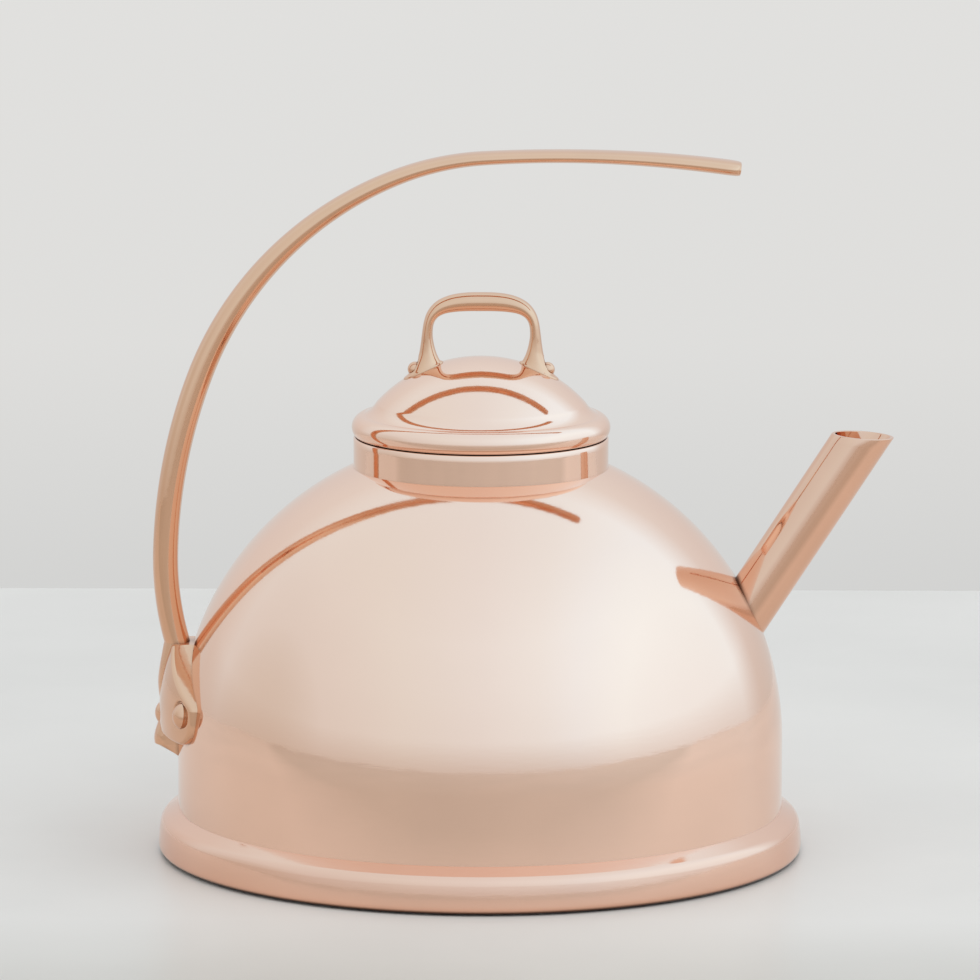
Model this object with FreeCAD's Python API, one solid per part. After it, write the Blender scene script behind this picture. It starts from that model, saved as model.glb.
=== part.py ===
"""Copper kettle: a spun hemispherical body on a banded foot, a straight spout, a round lid
with a cast loop handle, and a cast bow that is riveted to one side and arches over the lid.

Millimetres, +Z up. The origin is the centre of the foot, on the plane that the kettle
rests on. The spout points to +X and the bow rises from the -X side.
"""
import FreeCAD
import Part

import math
import os

V = FreeCAD.Vector
UP = V(0, 0, 1)

# --- body -----------------------------------------------------------------------------
BODY_R = 100.0            # outer radius of the dome and of the wall
DOME_Z = 37.4             # height of the dome's centre
SHEET = 1.2               # thickness of the copper sheet
MOUTH_R = 42.0            # radius of the hole in the top of the dome

# --- foot -----------------------------------------------------------------------------
FOOT_R = 106.5            # widest radius of the foot
FOOT_WIDEST_Z = 2.6
FOOT_REST_R = 103.4       # outer radius of the flat ring that touches the table
FOOT_LEDGE_R = 94.0       # inner radius of that ring
FOOT_TOP_Z = 15.0         # where the foot meets the wall
# outside of the foot's slope and corner: how far out from the wall and down from the top
FOOT_SLOPE = (4.0, 2.5)
FOOT_CORNER = (5.2, 3.7)
FOOT_BAND = (5.85, 5.4)
# the same places on its inside
FOOT_LIP_INSIDE = 1.4
FOOT_SLOPE_INSIDE = (3.36, 3.5)
FOOT_CORNER_INSIDE = (4.15, 4.35)
FOOT_BAND_INSIDE = (4.65, 5.6)
# middles of the band, outside and inside: in from the widest radius and up from it
FOOT_BELLY = (0.2, 3.6)
FOOT_BELLY_INSIDE = (1.4, 3.5)
FOOT_ROLL_R = 2.2         # the band rolls under with this radius
FOOT_ROLL_TURN = 72.0     # and turns by this much, degrees, before it runs in to the table
BASE_SHEET = 1.6

# --- neck -----------------------------------------------------------------------------
NECK_WALL = 1.6
NECK_TOP_Z = 138.3
NECK_FLANGE_R = 48.0      # flange soldered to the underside of the dome
NECK_FLANGE_THICK = 1.0
NECK_LIP = 0.5            # rounding of the rim

# --- spout ----------------------------------------------------------------------------
SPOUT_R = 8.95
SPOUT_WALL = 1.0
SPOUT_ANGLE = 57.1        # axis above the horizontal, degrees
SPOUT_MOUTH = V(125.7, 0, 138.9)
SPOUT_MOUTH_TILT = 3.8    # the mouth dips this far towards +X, degrees
SPOUT_INSIDE = 1.0        # how far the tube reaches inside the dome
SPOUT_STOCK = 110.0       # half the length of the tube before its ends are cut

# --- bow ------------------------------------------------------------------------------
BOW_START = V(-100.3, 0, 69.5)
BOW_HEADING = 105.5       # direction at the start, degrees from +X
# radius and turn of each arc, from the foot to the free end
BOW_ARCS = [(102.0, 17.0), (179.0, 19.4), (114.0, 47.0), (93.0, 18.6), (420.0, 11.5)]
BOW_THICK = 8.4           # in the bow's own plane, at the foot
BOW_THIN = 4.3            # the thinnest place, over the lid
BOW_TIP_THICK = 5.0
BOW_TAPER_FROM = 0.25     # share of the length where it starts to get thinner
BOW_THIN_AT = 0.80        # share of the length where it is thinnest
BOW_WIDTH = 12.0
BOW_TIP_WIDTH = 14.0
BOW_WIDEN_FROM = 0.5      # share of the length where it starts to get wider
BOW_SQUARENESS = 2.1      # 2 is an ellipse, more is squarer
BOW_SECTION_POINTS = 16
BOW_STATIONS = 24
BOW_ROOT = 9.0            # the bar runs on this far into the flange
BOW_TIP_ROUND = 5.0       # length over which the free end rounds off
# the last sections: share of that length from the end, share of the thickness, of the width
BOW_TIP_SECTIONS = [(0.6, 1.0, 1.0), (0.3, 0.972, 0.93), (0.0, 0.88, 0.7)]

# --- the bow's riveted flange ------------------------------------------------------------
FLANGE_TOP_Z = 69.5
FLANGE_TOP_HALF = 8.0
FLANGE_HALF = 35.5
FLANGE_SHOULDER_Z = 53.5
FLANGE_LOW_Z = 40.0
FLANGE_CORNER_R = 8.0
CROWN_R = 61.2            # the flange's outer face is part of this sphere
CROWN_X = -45.0
CROWN_Z = 47.0
RIB_HALF = 6.0            # the bow's bar runs on down the flange as a rib
RIB_OUTER = [(-104.4, 70.5), (-106.6, 57.0), (-105.7, 46.5), (-107.9, 38.5), (-108.0, 35.4)]
TOE_LOW = (-99.9, 31.6)
RIB_BACK_X = -90.0        # the rib's stock reaches in to here before the body is cut away

# --- the bow's rivets ---------------------------------------------------------------------
RIVET_MID_Z = 45.0
RIVET_SIDE_Z = 49.5
RIVET_SPREAD = 17.0       # angle between neighbouring rivets, about the body's axis
RIVET_SHANK_R = 2.5
RIVET_HEAD_R = 4.3
RIVET_HEAD_H = 2.6
RIVET_TAIL_R = 3.9
RIVET_TAIL_H = 1.6
WASHER_R = 5.4
WASHER_THICK = 1.0
SEAT_MID = 105.4          # distance of each head's seat from the dome's centre
SEAT_SIDE = 103.3
SEAT_CLEAR = 0.4          # the spot face around each head

# --- lid ------------------------------------------------------------------------------
LID_GAP = 0.3             # clearance between the lid and the neck's rim
LID_DOME_R = 46.7
LID_TOP_Z = 164.5
LID_SHEET = 1.0
BEAD_R = 4.2              # radius of the half-round bead
BEAD_CENTRE = (38.4, 141.4)
BEAD_TOP_ANGLE = 87.0
LID_COVE = (36.9, 146.6)  # the middle of the cove between bead and dome
LID_COVE_INSIDE = (-0.45, -0.95)   # from the cove's outside to its inside
LID_DOME_EDGE_R = 34.6
LID_EDGE_SHIFT = 0.9      # the sheet's inside edge is nearer the axis, by this share of the sheet
SKIRT_R = 39.8            # outer radius of the ring that locates the lid in the neck
SKIRT_WALL = 1.0
SKIRT_LOW_Z = 127.4
SKIRT_FLANGE_R = 40.2     # flange inside the bead
SKIRT_FLANGE_THICK = 1.0
SKIRT_FLANGE_SLOPE = 0.2  # the flange is wider at its top by this much

# --- lid handle --------------------------------------------------------------------------
# half of the loop, from the middle of its top to just under the lid's surface: place
# across the kettle, height, lean of the section from upright in degrees, half thickness
# in the loop's plane, half width across it
LOOP_STATIONS = [
    (0.0, 182.85, 0, 3.15, 3.8),
    (5.0, 182.75, 3, 3.1, 3.8),
    (9.5, 182.2, 14, 2.9, 3.7),
    (13.3, 180.9, 34, 2.5, 3.6),
    (15.9, 178.7, 58, 2.0, 3.5),
    (17.25, 175.8, 78, 1.7, 3.4),
    (17.75, 172.0, 90, 1.8, 3.4),
    (17.75, 168.5, 93, 2.25, 3.5),
    (17.7, 165.4, 99, 3.0, 3.8),
    (18.1, 162.9, 107, 4.3, 4.3),
    (18.7, 161.1, 113, 5.7, 4.9),
    (19.05, 160.2, 114, 7.0, 5.2),
    (18.5, 158.8, 114, 7.1, 5.3),
]
LOOP_ROUNDNESS = 2.0
LID_RIVET_ANGLE = 27.0
LID_RIVET_SHANK_R = 1.5
LID_RIVET_HEAD_R = 2.5
LID_RIVET_HEAD_H = 2.6
LID_WASHER_R = 3.4
LID_WASHER_THICK = 0.8
LID_TAIL_R = 2.4
LID_TAIL_H = 1.1
LID_SEAT_HEIGHT = 1.0     # the heads sit in spot faces this high above the lid's dome
LID_SEAT_CLEAR = 0.2
LID_SEAT_CUT = 6.0        # depth of the tool that cuts a spot face

DOME_CENTRE = V(0, 0, DOME_Z)
LID_CENTRE = V(0, 0, LID_TOP_Z - LID_DOME_R)
FAR = 400.0               # longer than anything here, for cutting tools


def on_plane(radius, height):
    """A point of a profile, in the plane that holds the kettle's axis and the spout."""
    return V(radius, 0, height)


def line(start, end):
    return Part.makeLine(start, end)


def arc(start, middle, end):
    return Part.Arc(start, middle, end).toShape()


def face_of(edges):
    return Part.Face(Part.Wire(edges))


def spun(edges):
    """The solid that a closed profile makes when it is spun about the kettle's axis."""
    return face_of(edges).revolve(V(0, 0, 0), UP, 360)


def ball(centre, radius):
    return Part.makeSphere(radius, centre)


def polar(centre, radius, angle):
    """The point at an angle above +X, in the XZ plane, about a centre."""
    turn = math.radians(angle)
    return centre + V(radius * math.cos(turn), 0, radius * math.sin(turn))


def height_on_dome(radius, offset):
    """Height of the dome's surface, moved outwards by an offset, at a radius."""
    return DOME_Z + math.sqrt((BODY_R + offset) ** 2 - radius ** 2)


def placed(shape, centre, out):
    """A shape made about +Z, turned to point along out from a centre."""
    shape.Placement = FreeCAD.Placement(centre, FreeCAD.Rotation(UP, out))
    return shape


def dome_arc(edge_r, base, height):
    """Half of a shallow dome's profile, from its edge to its top."""
    curve = (edge_r ** 2 + height ** 2) / (2 * abs(height))
    middle_r = edge_r / 2
    sink = curve - math.sqrt(curve ** 2 - middle_r ** 2)
    middle = base + height - math.copysign(sink, height)
    return arc(on_plane(edge_r, base), on_plane(middle_r, middle), on_plane(0, base + height))


def turned_rivet(centre, out, inside, seat, shank_r, head, tail):
    """A rivet whose domed head and domed tail are (radius, height) pairs."""
    profile = [
        dome_arc(head[0], seat, head[1]),
        line(on_plane(0, seat + head[1]), on_plane(0, inside - tail[1])),
        dome_arc(tail[0], inside, -tail[1]),
        line(on_plane(tail[0], inside), on_plane(shank_r, inside)),
        line(on_plane(shank_r, inside), on_plane(shank_r, seat)),
        line(on_plane(shank_r, seat), on_plane(head[0], seat)),
    ]
    return placed(spun(Part.__sortEdges__(profile)), centre, out)


def dished_washer(centre, out, inside, against_r, hole_r, rim_r):
    """A washer whose outer face fits the inside of a sphere about the centre."""
    def on_sphere(radius):
        return on_plane(radius, math.sqrt(against_r ** 2 - radius ** 2))

    profile = [
        line(on_plane(hole_r, inside), on_plane(rim_r, inside)),
        line(on_plane(rim_r, inside), on_sphere(rim_r)),
        arc(on_sphere(rim_r), on_sphere((hole_r + rim_r) / 2), on_sphere(hole_r)),
        line(on_sphere(hole_r), on_plane(hole_r, inside)),
    ]
    return placed(spun(profile), centre, out)


# --- body ---------------------------------------------------------------------------------

def outer_body(offset):
    """The filled space inside the dome and the wall, moved outwards by an offset."""
    radius = BODY_R + offset
    wall = Part.makeCylinder(radius, DOME_Z - BASE_SHEET, V(0, 0, BASE_SHEET))
    half = ball(DOME_CENTRE, radius).common(
        Part.makeCylinder(FAR, FAR, DOME_CENTRE))
    return wall.fuse(half).removeSplitter()


def handle_rivet_axes():
    """Name, outward direction and seat distance of each rivet that holds the bow."""
    axes = []
    for name, side, seat, height in (("near", -1, SEAT_SIDE, RIVET_SIDE_Z),
                                     ("centre", 0, SEAT_MID, RIVET_MID_Z),
                                     ("far", 1, SEAT_SIDE, RIVET_SIDE_Z)):
        rise = math.asin((height - DOME_Z) / BODY_R)
        turn = math.radians(180 - side * RIVET_SPREAD)
        out = V(math.cos(turn) * math.cos(rise), math.sin(turn) * math.cos(rise), math.sin(rise))
        axes.append((name, out, seat))
    return axes


def handle_holes():
    holes = []
    for name, out, seat in handle_rivet_axes():
        holes.append(Part.makeCylinder(RIVET_SHANK_R, FAR, DOME_CENTRE, out))
    return holes


def spout_axis():
    turn = math.radians(SPOUT_ANGLE)
    return V(math.cos(turn), 0, math.sin(turn))


def spout_stock(radius):
    """A long cylinder on the spout's axis, from inside the dome to past the mouth."""
    low_end = SPOUT_MOUTH - spout_axis() * SPOUT_STOCK
    return Part.makeCylinder(radius, 2 * SPOUT_STOCK, low_end, spout_axis())


def body_shell():
    """The spun body: an upright wall and a dome, with a round mouth at the top."""
    inner_r = BODY_R - SHEET
    half_way = 35             # any angle between the wall and the mouth gives the same arc
    mouth = on_plane(MOUTH_R, height_on_dome(MOUTH_R, 0))
    mouth_inside = on_plane(MOUTH_R, height_on_dome(MOUTH_R, -SHEET))
    shell = spun([
        line(on_plane(inner_r, BASE_SHEET), on_plane(BODY_R, BASE_SHEET)),
        line(on_plane(BODY_R, BASE_SHEET), on_plane(BODY_R, DOME_Z)),
        arc(on_plane(BODY_R, DOME_Z), polar(DOME_CENTRE, BODY_R, half_way), mouth),
        line(mouth, mouth_inside),
        arc(mouth_inside, polar(DOME_CENTRE, inner_r, half_way), on_plane(inner_r, DOME_Z)),
        line(on_plane(inner_r, DOME_Z), on_plane(inner_r, BASE_SHEET)),
    ])
    return shell.cut([spout_stock(SPOUT_R)] + handle_holes())


def foot_ring():
    """A hollow band: a slope out from the wall, an upright band, a rolled edge, a flat ledge."""
    def below_top(step):
        return on_plane(BODY_R + step[0], FOOT_TOP_Z - step[1])

    def above_widest(step):
        return on_plane(FOOT_R - step[0], FOOT_WIDEST_Z + step[1])

    top = on_plane(BODY_R, FOOT_TOP_Z)
    lip_inside = on_plane(BODY_R, FOOT_TOP_Z - FOOT_LIP_INSIDE)
    widest = on_plane(FOOT_R, FOOT_WIDEST_Z)
    widest_inside = on_plane(FOOT_R - SHEET, FOOT_WIDEST_Z)
    roll_centre = on_plane(FOOT_R - FOOT_ROLL_R, FOOT_WIDEST_Z)
    roll_inside_r = FOOT_ROLL_R - SHEET
    heel = polar(roll_centre, FOOT_ROLL_R, -FOOT_ROLL_TURN)
    heel_inside = polar(roll_centre, roll_inside_r, -FOOT_ROLL_TURN)
    run_in = math.tan(math.radians(FOOT_ROLL_TURN))
    rest_inside = on_plane(heel_inside.x - (heel_inside.z - BASE_SHEET) * run_in, BASE_SHEET)
    rest = on_plane(FOOT_REST_R, 0)
    ledge = on_plane(FOOT_LEDGE_R, 0)
    ledge_inside = on_plane(FOOT_LEDGE_R, BASE_SHEET)
    edges = [
        line(top, below_top(FOOT_SLOPE)),
        arc(below_top(FOOT_SLOPE), below_top(FOOT_CORNER), below_top(FOOT_BAND)),
        arc(below_top(FOOT_BAND), above_widest(FOOT_BELLY), widest),
        arc(widest, polar(roll_centre, FOOT_ROLL_R, -FOOT_ROLL_TURN / 2), heel),
        line(heel, rest),
        line(rest, ledge),
        line(ledge, ledge_inside),
        line(ledge_inside, rest_inside),
        line(rest_inside, heel_inside),
        arc(heel_inside, polar(roll_centre, roll_inside_r, -FOOT_ROLL_TURN / 2), widest_inside),
        arc(widest_inside, above_widest(FOOT_BELLY_INSIDE), below_top(FOOT_BAND_INSIDE)),
        arc(below_top(FOOT_BAND_INSIDE), below_top(FOOT_CORNER_INSIDE), below_top(FOOT_SLOPE_INSIDE)),
        line(below_top(FOOT_SLOPE_INSIDE), lip_inside),
        line(lip_inside, top),
    ]
    return spun(edges)


def base_plate():
    """The flat bottom, dropped inside the wall onto the foot's ledge."""
    return Part.makeCylinder(BODY_R - SHEET, BASE_SHEET, V(0, 0, BASE_SHEET))


def neck_collar():
    """The upright rim that the lid sits on, with a flange under the dome."""
    inner_r = MOUTH_R - NECK_WALL
    under = -SHEET
    flange_low = -SHEET - NECK_FLANGE_THICK
    flange_mid_r = (MOUTH_R + NECK_FLANGE_R) / 2
    outer_top = on_plane(MOUTH_R, NECK_TOP_Z - NECK_LIP)
    inner_top = on_plane(inner_r, NECK_TOP_Z - NECK_LIP)
    inner_low = on_plane(inner_r, height_on_dome(inner_r, flange_low))
    flange_low_edge = on_plane(NECK_FLANGE_R, height_on_dome(NECK_FLANGE_R, flange_low))
    flange_top_edge = on_plane(NECK_FLANGE_R, height_on_dome(NECK_FLANGE_R, under))
    outer_low = on_plane(MOUTH_R, height_on_dome(MOUTH_R, under))
    return spun([
        line(outer_low, outer_top),
        arc(outer_top, on_plane((inner_r + MOUTH_R) / 2, NECK_TOP_Z), inner_top),
        line(inner_top, inner_low),
        line(inner_low, flange_low_edge),
        line(flange_low_edge, flange_top_edge),
        arc(flange_top_edge, on_plane(flange_mid_r, height_on_dome(flange_mid_r, under)), outer_low),
    ])


def spout_tube():
    tube = spout_stock(SPOUT_R).cut(spout_stock(SPOUT_R - SPOUT_WALL))
    tube = tube.cut(ball(DOME_CENTRE, BODY_R - SHEET - SPOUT_INSIDE))
    tilt = math.radians(SPOUT_MOUTH_TILT)
    normal = V(math.sin(tilt), 0, math.cos(tilt))
    above = Part.makeCylinder(FAR, FAR, SPOUT_MOUTH, normal)
    tube = tube.cut(above)
    pieces = sorted(tube.Solids, key=lambda piece: piece.CenterOfMass.z)
    return pieces[-1]


# --- bow ----------------------------------------------------------------------------------

def bow_frames():
    """Evenly spaced places on the bow's centre line: share of length, point, heading."""
    length = sum(radius * math.radians(turn) for radius, turn in BOW_ARCS)
    frames = []
    for step in range(BOW_STATIONS + 1):
        left = length * step / BOW_STATIONS
        place = BOW_START
        heading = math.radians(BOW_HEADING)
        for radius, turn in BOW_ARCS:
            run = min(left, radius * math.radians(turn))
            half = heading - run / radius / 2
            chord = 2 * radius * math.sin(run / radius / 2)
            place = place + V(math.cos(half), 0, math.sin(half)) * chord
            heading -= run / radius
            left -= run
        frames.append((step / BOW_STATIONS, place, heading))
    return frames


def smooth_step(share):
    share = max(0.0, min(1.0, share))
    return share * share * (3 - 2 * share)


def bow_size(share):
    """Half thickness and half width of the bow at a share of its length."""
    if share < BOW_THIN_AT:
        taper = smooth_step((share - BOW_TAPER_FROM) / (BOW_THIN_AT - BOW_TAPER_FROM))
        thick = BOW_THICK + (BOW_THIN - BOW_THICK) * taper
    else:
        swell = smooth_step((share - BOW_THIN_AT) / (1 - BOW_THIN_AT))
        thick = BOW_THIN + (BOW_TIP_THICK - BOW_THIN) * swell
    widen = smooth_step((share - BOW_WIDEN_FROM) / (1 - BOW_WIDEN_FROM))
    wide = BOW_WIDTH + (BOW_TIP_WIDTH - BOW_WIDTH) * widen
    return thick / 2, wide / 2


def section_wire(place, across, half_thick, half_wide, squareness=BOW_SQUARENESS):
    """A closed, squarish oval about a place, spanned by a direction and +Y."""
    points = []
    for step in range(BOW_SECTION_POINTS):
        turn = 2 * math.pi * step / BOW_SECTION_POINTS
        cosine = math.cos(turn)
        sine = math.sin(turn)
        first = math.copysign(abs(cosine) ** (2 / squareness), cosine) * half_thick
        second = math.copysign(abs(sine) ** (2 / squareness), sine) * half_wide
        points.append(place + across * first + V(0, second, 0))
    curve = Part.BSplineCurve()
    curve.interpolate(Points=points, PeriodicFlag=True)
    return Part.Wire(curve.toShape())


def bow_bar():
    """The curved bar, from the flange to just short of its rounded free end."""
    length = sum(radius * math.radians(turn) for radius, turn in BOW_ARCS)
    wires = []
    for share, place, heading in bow_frames():
        half_thick, half_wide = bow_size(share)
        along = V(math.cos(heading), 0, math.sin(heading))
        across = V(-math.sin(heading), 0, math.cos(heading))
        if share == 0:
            wires.append(section_wire(place - along * BOW_ROOT, across, half_thick, half_wide))
        if share == 1:
            for inset, thick_share, wide_share in BOW_TIP_SECTIONS:
                back = place - along * (inset * BOW_TIP_ROUND)
                wires.append(section_wire(back, across, half_thick * thick_share, half_wide * wide_share))
        elif share * length < length - BOW_TIP_ROUND:
            wires.append(section_wire(place, across, half_thick, half_wide))
    return Part.makeLoft(wires, True)


def flange():
    """The crowned plate that lies on the body and takes the rivets."""
    outline = [
        V(-FAR, -FLANGE_TOP_HALF, FLANGE_TOP_Z),
        V(-FAR, FLANGE_TOP_HALF, FLANGE_TOP_Z),
        V(-FAR, FLANGE_HALF, FLANGE_SHOULDER_Z),
        V(-FAR, FLANGE_HALF, FLANGE_LOW_Z),
        V(-FAR, -FLANGE_HALF, FLANGE_LOW_Z),
        V(-FAR, -FLANGE_HALF, FLANGE_SHOULDER_Z),
    ]
    prism = Part.Face(Part.makePolygon(outline + [outline[0]])).extrude(V(FAR, 0, 0))
    corners = []
    for edge in prism.Edges:
        middle = edge.CenterOfMass
        if abs(middle.x + FAR / 2) < 1 and abs(abs(middle.y) - FLANGE_HALF) < 1:
            corners.append(edge)
    prism = prism.makeFillet(FLANGE_CORNER_R, corners)
    return prism.common(ball(V(CROWN_X, 0, CROWN_Z), CROWN_R))


def rib():
    """The bar's run down the middle of the flange, ending in a toe below it."""
    outer = [V(x, -RIB_HALF, z) for x, z in RIB_OUTER]
    toe = V(TOE_LOW[0], -RIB_HALF, TOE_LOW[1])
    inner = V(RIB_BACK_X, -RIB_HALF, TOE_LOW[1])
    top = V(RIB_BACK_X, -RIB_HALF, RIB_OUTER[0][1])
    curve = Part.BSplineCurve()
    curve.interpolate(Points=outer[:4])
    face = face_of([
        curve.toShape(),
        line(outer[3], outer[4]),
        line(outer[4], toe),
        line(toe, inner),
        line(inner, top),
        line(top, outer[0]),
    ])
    return face.extrude(V(0, 2 * RIB_HALF, 0))


def handle_bow():
    bow = bow_bar().fuse([flange(), rib()])
    bow = bow.cut(outer_body(0))
    seats = []
    for name, out, seat in handle_rivet_axes():
        seats.append(Part.makeCylinder(RIVET_HEAD_R + SEAT_CLEAR, FAR, DOME_CENTRE + out * seat, out))
    bow = bow.cut(handle_holes() + seats)
    pieces = sorted(bow.Solids, key=lambda piece: piece.Volume)
    return pieces[-1]


def handle_rivet(out, seat):
    """Head outside, shank through flange, wall and washer, peened tail inside."""
    inside = BODY_R - SHEET - WASHER_THICK
    return turned_rivet(DOME_CENTRE, out, inside, seat, RIVET_SHANK_R,
                        (RIVET_HEAD_R, RIVET_HEAD_H), (RIVET_TAIL_R, RIVET_TAIL_H))


def handle_washer(out):
    """A dished washer under the rivet's tail, against the inside of the wall."""
    inside = BODY_R - SHEET - WASHER_THICK
    return dished_washer(DOME_CENTRE, out, inside, BODY_R - SHEET, RIVET_SHANK_R, WASHER_R)


# --- lid ----------------------------------------------------------------------------------

def lid_low_z():
    return NECK_TOP_Z + LID_GAP


def lid_dome():
    """The spun lid: a dome, a cove and a hollow half-round bead."""
    low = lid_low_z()
    bead = V(BEAD_CENTRE[0], 0, BEAD_CENTRE[1])
    inner_bead = BEAD_R - LID_SHEET
    low_angle = math.degrees(math.asin((low - BEAD_CENTRE[1]) / BEAD_R))
    low_out = polar(bead, BEAD_R, low_angle)
    low_in = V(bead.x + math.sqrt(inner_bead ** 2 - (low - bead.z) ** 2), 0, low)
    top_out = polar(bead, BEAD_R, BEAD_TOP_ANGLE)
    top_in = polar(bead, inner_bead, BEAD_TOP_ANGLE)
    cove = V(LID_COVE[0], 0, LID_COVE[1])
    inner_dome = LID_DOME_R - LID_SHEET
    edge_out = V(LID_DOME_EDGE_R, 0, LID_CENTRE.z + math.sqrt(LID_DOME_R ** 2 - LID_DOME_EDGE_R ** 2))
    edge_in_r = LID_DOME_EDGE_R - LID_SHEET * LID_EDGE_SHIFT
    edge_in = V(edge_in_r, 0, LID_CENTRE.z + math.sqrt(inner_dome ** 2 - edge_in_r ** 2))
    cove_in = cove + V(LID_COVE_INSIDE[0], 0, LID_COVE_INSIDE[1])
    dome_mid = 70             # any angles along the dome and the bead give the same arcs
    bead_mid = 20
    sheet = spun([
        arc(low_out, polar(bead, BEAD_R, bead_mid), top_out),
        arc(top_out, cove, edge_out),
        arc(edge_out, polar(LID_CENTRE, LID_DOME_R, dome_mid), polar(LID_CENTRE, LID_DOME_R, 90)),
        line(polar(LID_CENTRE, LID_DOME_R, 90), polar(LID_CENTRE, inner_dome, 90)),
        arc(polar(LID_CENTRE, inner_dome, 90), polar(LID_CENTRE, inner_dome, dome_mid), edge_in),
        arc(edge_in, cove_in, top_in),
        arc(top_in, polar(bead, inner_bead, bead_mid), low_in),
        line(low_in, low_out),
    ])
    return sheet.cut(lid_holes())


def lid_skirt():
    """The ring that drops into the neck, with a flange inside the bead."""
    low = lid_low_z()
    top = low + SKIRT_FLANGE_THICK
    inner_r = SKIRT_R - SKIRT_WALL
    flange_low = on_plane(SKIRT_FLANGE_R - SKIRT_FLANGE_SLOPE, low)
    flange_top = on_plane(SKIRT_FLANGE_R, top)
    return spun([
        line(on_plane(inner_r, SKIRT_LOW_Z), on_plane(SKIRT_R, SKIRT_LOW_Z)),
        line(on_plane(SKIRT_R, SKIRT_LOW_Z), on_plane(SKIRT_R, low)),
        line(on_plane(SKIRT_R, low), flange_low),
        line(flange_low, flange_top),
        line(flange_top, on_plane(inner_r, top)),
        line(on_plane(inner_r, top), on_plane(inner_r, SKIRT_LOW_Z)),
    ])


def lid_rivet_axes():
    axes = []
    for name, side in (("left", -1), ("right", 1)):
        lean = math.radians(LID_RIVET_ANGLE)
        axes.append((name, V(side * math.sin(lean), 0, math.cos(lean))))
    return axes


def lid_holes():
    return [Part.makeCylinder(LID_RIVET_SHANK_R, FAR, LID_CENTRE, out) for name, out in lid_rivet_axes()]


def lid_loop():
    """The loop of the lid's handle, thickest in its grip and flared out at both feet."""
    left = [(-x, z, -lean, thick, wide) for x, z, lean, thick, wide in reversed(LOOP_STATIONS[1:])]
    wires = []
    for x, z, lean, thick, wide in left + LOOP_STATIONS:
        turn = math.radians(lean)
        across = V(math.sin(turn), 0, math.cos(turn))
        wires.append(section_wire(V(x, 0, z), across, thick, wide, LOOP_ROUNDNESS))
    return Part.makeLoft(wires, True)


def lid_handle():
    handle = lid_loop().cut(ball(LID_CENTRE, LID_DOME_R))
    seats = []
    for name, out in lid_rivet_axes():
        seat = LID_CENTRE + out * (LID_DOME_R + LID_SEAT_HEIGHT)
        seats.append(Part.makeCylinder(LID_RIVET_HEAD_R + LID_SEAT_CLEAR, LID_SEAT_CUT, seat, out))
    return handle.cut(lid_holes() + seats)


def lid_rivet(out):
    seat = LID_DOME_R + LID_SEAT_HEIGHT
    inside = LID_DOME_R - LID_SHEET - LID_WASHER_THICK
    return turned_rivet(LID_CENTRE, out, inside, seat, LID_RIVET_SHANK_R,
                        (LID_RIVET_HEAD_R, LID_RIVET_HEAD_H), (LID_TAIL_R, LID_TAIL_H))


def lid_washer(out):
    inside = LID_DOME_R - LID_SHEET - LID_WASHER_THICK
    return dished_washer(LID_CENTRE, out, inside, LID_DOME_R - LID_SHEET, LID_RIVET_SHANK_R, LID_WASHER_R)


def save(node, shape):
    solids = shape.Solids
    solid = solids[0]
    if len(solids) != 1 or not solid.isValid():
        raise ValueError(node + " is not one valid solid: " + str(len(solids)))
    solid.exportStep("parts/" + node + ".step")
    box = solid.optimalBoundingBox(False)
    print(node, round(solid.Volume, 1), "x", round(box.XMin, 2), round(box.XMax, 2),
          "y", round(box.YMin, 2), round(box.YMax, 2), "z", round(box.ZMin, 2), round(box.ZMax, 2))


os.makedirs("parts", exist_ok=True)
save("body_shell", body_shell())
save("foot_ring", foot_ring())
save("base_plate", base_plate())
save("neck_collar", neck_collar())
save("spout_tube", spout_tube())
save("handle_bow", handle_bow())
for rivet_name, rivet_out, rivet_seat in handle_rivet_axes():
    save("handle_rivet_" + rivet_name, handle_rivet(rivet_out, rivet_seat))
    save("handle_washer_" + rivet_name, handle_washer(rivet_out))
save("lid_dome", lid_dome())
save("lid_skirt", lid_skirt())
save("lid_handle", lid_handle())
for rivet_name, rivet_out in lid_rivet_axes():
    save("lid_rivet_" + rivet_name, lid_rivet(rivet_out))
    save("lid_washer_" + rivet_name, lid_washer(rivet_out))
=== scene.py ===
"""Looks for the copper kettle: smooth polished skins over the CAD frame, and a pale studio."""

import math

import bmesh
import bpy
from mathutils import Matrix, Vector


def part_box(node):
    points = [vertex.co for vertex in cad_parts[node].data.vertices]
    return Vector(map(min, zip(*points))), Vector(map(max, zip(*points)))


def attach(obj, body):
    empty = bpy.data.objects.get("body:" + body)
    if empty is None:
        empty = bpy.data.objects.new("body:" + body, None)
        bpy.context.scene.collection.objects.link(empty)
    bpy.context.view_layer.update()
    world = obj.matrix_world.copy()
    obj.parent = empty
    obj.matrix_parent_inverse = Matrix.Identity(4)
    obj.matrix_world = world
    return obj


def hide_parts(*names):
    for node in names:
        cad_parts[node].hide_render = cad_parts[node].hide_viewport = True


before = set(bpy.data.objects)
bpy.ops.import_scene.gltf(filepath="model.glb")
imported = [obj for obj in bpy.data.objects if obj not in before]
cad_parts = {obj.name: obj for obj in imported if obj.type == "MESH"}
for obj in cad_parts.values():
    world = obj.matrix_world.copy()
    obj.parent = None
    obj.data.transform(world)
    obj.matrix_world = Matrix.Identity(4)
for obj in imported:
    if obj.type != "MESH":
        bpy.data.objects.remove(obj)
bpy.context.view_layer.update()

MM = 0.001
UP = Vector((0, 0, 1))
ROUND = 2 * math.pi
AXIS_R = 0.001            # a profile that reaches the axis starts this near it
BODY_TURN_STEPS = 384     # how finely the pieces are spun
LID_TURN_STEPS = 256
BASE_TURN_STEPS = 192
HEAD_TURN_STEPS = 64
TAIL_TURN_STEPS = 48

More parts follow.
